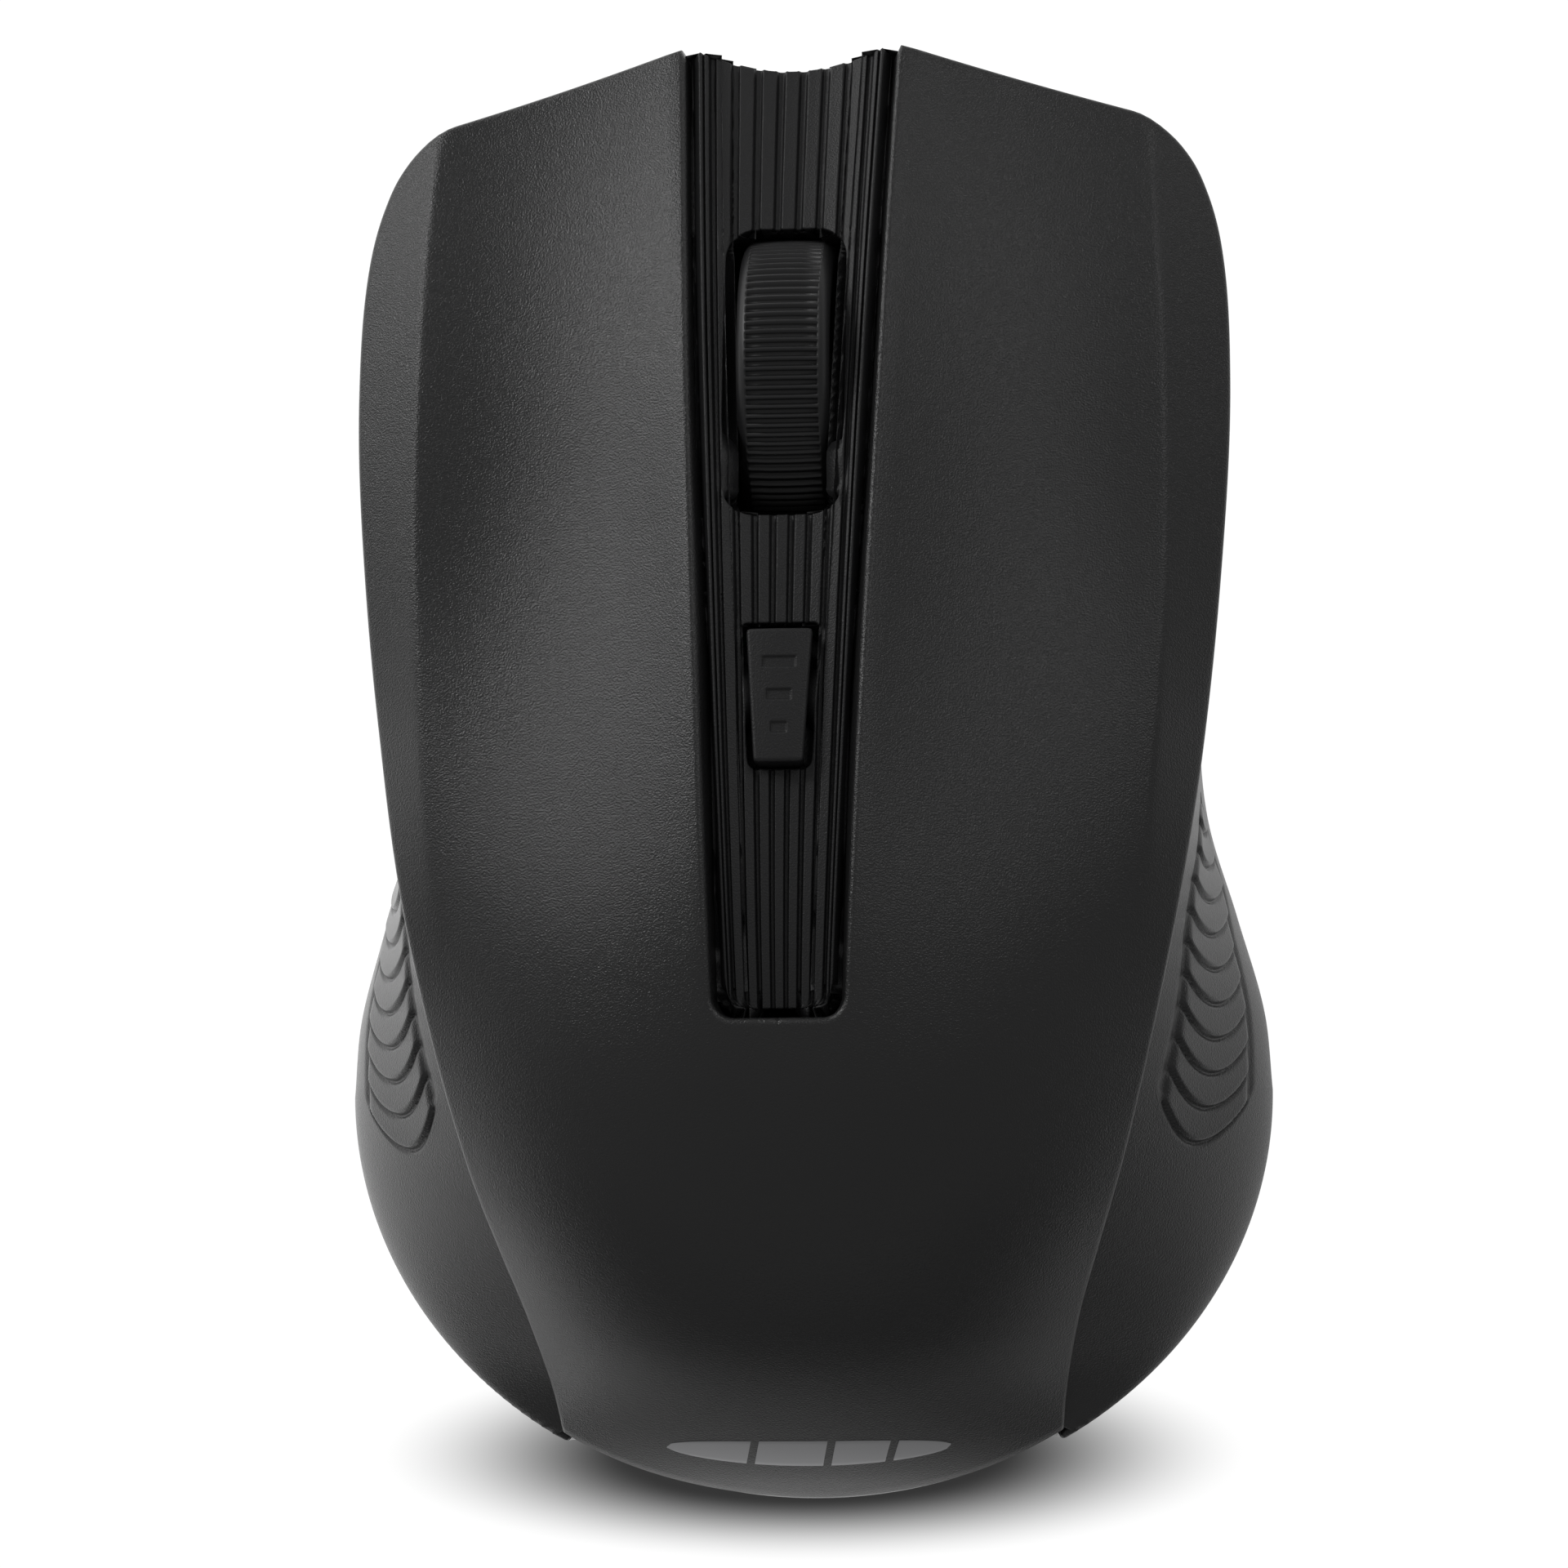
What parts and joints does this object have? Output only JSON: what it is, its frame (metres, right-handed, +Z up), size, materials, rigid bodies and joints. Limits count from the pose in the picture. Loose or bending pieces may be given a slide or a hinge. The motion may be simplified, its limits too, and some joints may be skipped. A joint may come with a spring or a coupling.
{
  "type": "computer mouse",
  "caption": "Compact wireless optical mouse with two long keys, a ribbed centre strip, a scroll wheel, a resolution button and scaled grip panels.",
  "frame": {"origin": "on the desk under the middle of the mouse", "axes": "+Z up, +Y to the front where the wheel is, +X to the user's right"},
  "size_m": [0.0668, 0.1046, 0.0375],
  "materials": {
    "case": "charcoal soft-touch plastic, fine grain",
    "frame_black": "black moulded plastic",
    "strip": "black ribbed plastic, semi-matt",
    "tyre": "black rubber",
    "foot": "smooth black low-friction plastic",
    "board": "green glass-fibre circuit board",
    "chip": "black chip package",
    "can": "satin metal can",
    "steel": "zinc-plated steel",
    "lens": "clear moulded plastic",
    "led": "red-tinted clear plastic",
    "white": "white nylon",
    "cell": "steel can with a plain printed sleeve",
    "label": "blank printed label",
    "brass": "plated spring metal"
  },
  "bodies": {
    "case": {"base_shell": "frame_black", "left_side_panel": "case", "right_side_panel": "case", "palm_shell": "case", "center_strip": "strip", "inner_frame": "frame_black", "main_board": "board", "dpi_board": "board", "sensor_chip": "chip", "sensor_lens": "lens", "led": "led", "led_clip": "frame_black", "left_switch": "chip", "right_switch": "chip", "wheel_switch": "chip", "dpi_switch": "chip", "carrier_spring": "steel", "gate_emitter": "lens", "gate_detector": "chip", "controller_chip": "chip", "crystal": "can", "capacitor_a": "can", "capacitor_b": "can", "left_cell": "cell", "right_cell": "cell", "front_contact": "steel", "rear_left_contact": "steel", "rear_right_contact": "steel", "power_switch": "chip", "rating_label": "label", "front_left_foot": "foot", "front_right_foot": "foot", "rear_left_foot": "foot", "rear_right_foot": "foot", "left_case_screw": "steel", "right_case_screw": "steel", "front_case_screw": "steel", "left_board_screw": "steel", "right_board_screw": "steel"},
    "left_key": {"left_key": "case"},
    "right_key": {"right_key": "case"},
    "left_plunger": {"left_plunger": "white"},
    "right_plunger": {"right_plunger": "white"},
    "dpi_button": {"dpi_button": "strip"},
    "dpi_plunger": {"dpi_plunger": "white"},
    "wheel_carrier": {"wheel_carrier": "frame_black", "detent_leaf": "steel"},
    "wheel": {"wheel_hub": "frame_black", "wheel_tyre": "tyre"},
    "wheel_plunger": {"wheel_plunger": "white"},
    "power_slider": {"power_slider": "white"},
    "battery_door": {"battery_door": "frame_black"},
    "receiver": {"receiver_cap": "frame_black", "receiver_plug": "can", "receiver_insert": "white"}
  },
  "joints": [
    {"name": "left_key_press", "type": "hinge", "parent": "case", "child": "left_key", "pos_m": [0, -0.011, 0.032], "axis": [1, 0, 0], "range_deg": [-0.8, 0], "stiffness_Nm_per_rad": 1.2, "springref_deg": 0.69},
    {"name": "left_plunger_travel", "type": "slide", "parent": "case", "child": "left_plunger", "axis": [0, 0, 1], "range_m": [-0.00062, 0]},
    {"name": "right_key_press", "type": "hinge", "parent": "case", "child": "right_key", "pos_m": [0, -0.011, 0.032], "axis": [1, 0, 0], "range_deg": [-0.8, 0], "stiffness_Nm_per_rad": 1.2, "springref_deg": 0.69},
    {"name": "right_plunger_travel", "type": "slide", "parent": "case", "child": "right_plunger", "axis": [0, 0, 1], "range_m": [-0.00062, 0]},
    {"name": "dpi_press", "type": "slide", "parent": "case", "child": "dpi_button", "axis": [0, 0, 1], "range_m": [-0.0005, 0], "stiffness_N_per_m": 1500, "springref_m": 0.0003},
    {"name": "dpi_plunger_travel", "type": "slide", "parent": "case", "child": "dpi_plunger", "axis": [0, 0, 1], "range_m": [-0.0005, 0]},
    {"name": "wheel_press", "type": "hinge", "parent": "case", "child": "wheel_carrier", "pos_m": [0, 0.0423, 0.0155], "axis": [1, 0, 0], "range_deg": [0, 1.6], "stiffness_Nm_per_rad": 1, "springref_deg": -0.86, "deforming": ["carrier_spring"]},
    {"name": "wheel_spin", "type": "hinge", "parent": "wheel_carrier", "child": "wheel", "pos_m": [0, 0.0278, 0.0198], "axis": [1, 0, 0], "continuous": true},
    {"name": "wheel_plunger_travel", "type": "slide", "parent": "case", "child": "wheel_plunger", "axis": [0, 0, 1], "range_m": [-0.00063, 0]},
    {"name": "power_slide", "type": "slide", "parent": "case", "child": "power_slider", "axis": [0, 1, 0], "range_m": [-0.0022, 0]},
    {"name": "door_slide", "type": "slide", "parent": "case", "child": "battery_door", "axis": [0, -1, 0], "range_m": [0, 0.054]},
    {"name": "receiver_pull", "type": "slide", "parent": "case", "child": "receiver", "axis": [0, 0, -1], "range_m": [0, 0.02]}
  ],
  "couplings": [
    {"joint": "left_plunger_travel", "follows": "left_key_press", "m_per_rad": 0.044},
    {"joint": "right_plunger_travel", "follows": "right_key_press", "m_per_rad": 0.044},
    {"joint": "dpi_plunger_travel", "follows": "dpi_press", "ratio": 1},
    {"joint": "wheel_plunger_travel", "follows": "wheel_press", "m_per_rad": -0.0223}
  ]
}
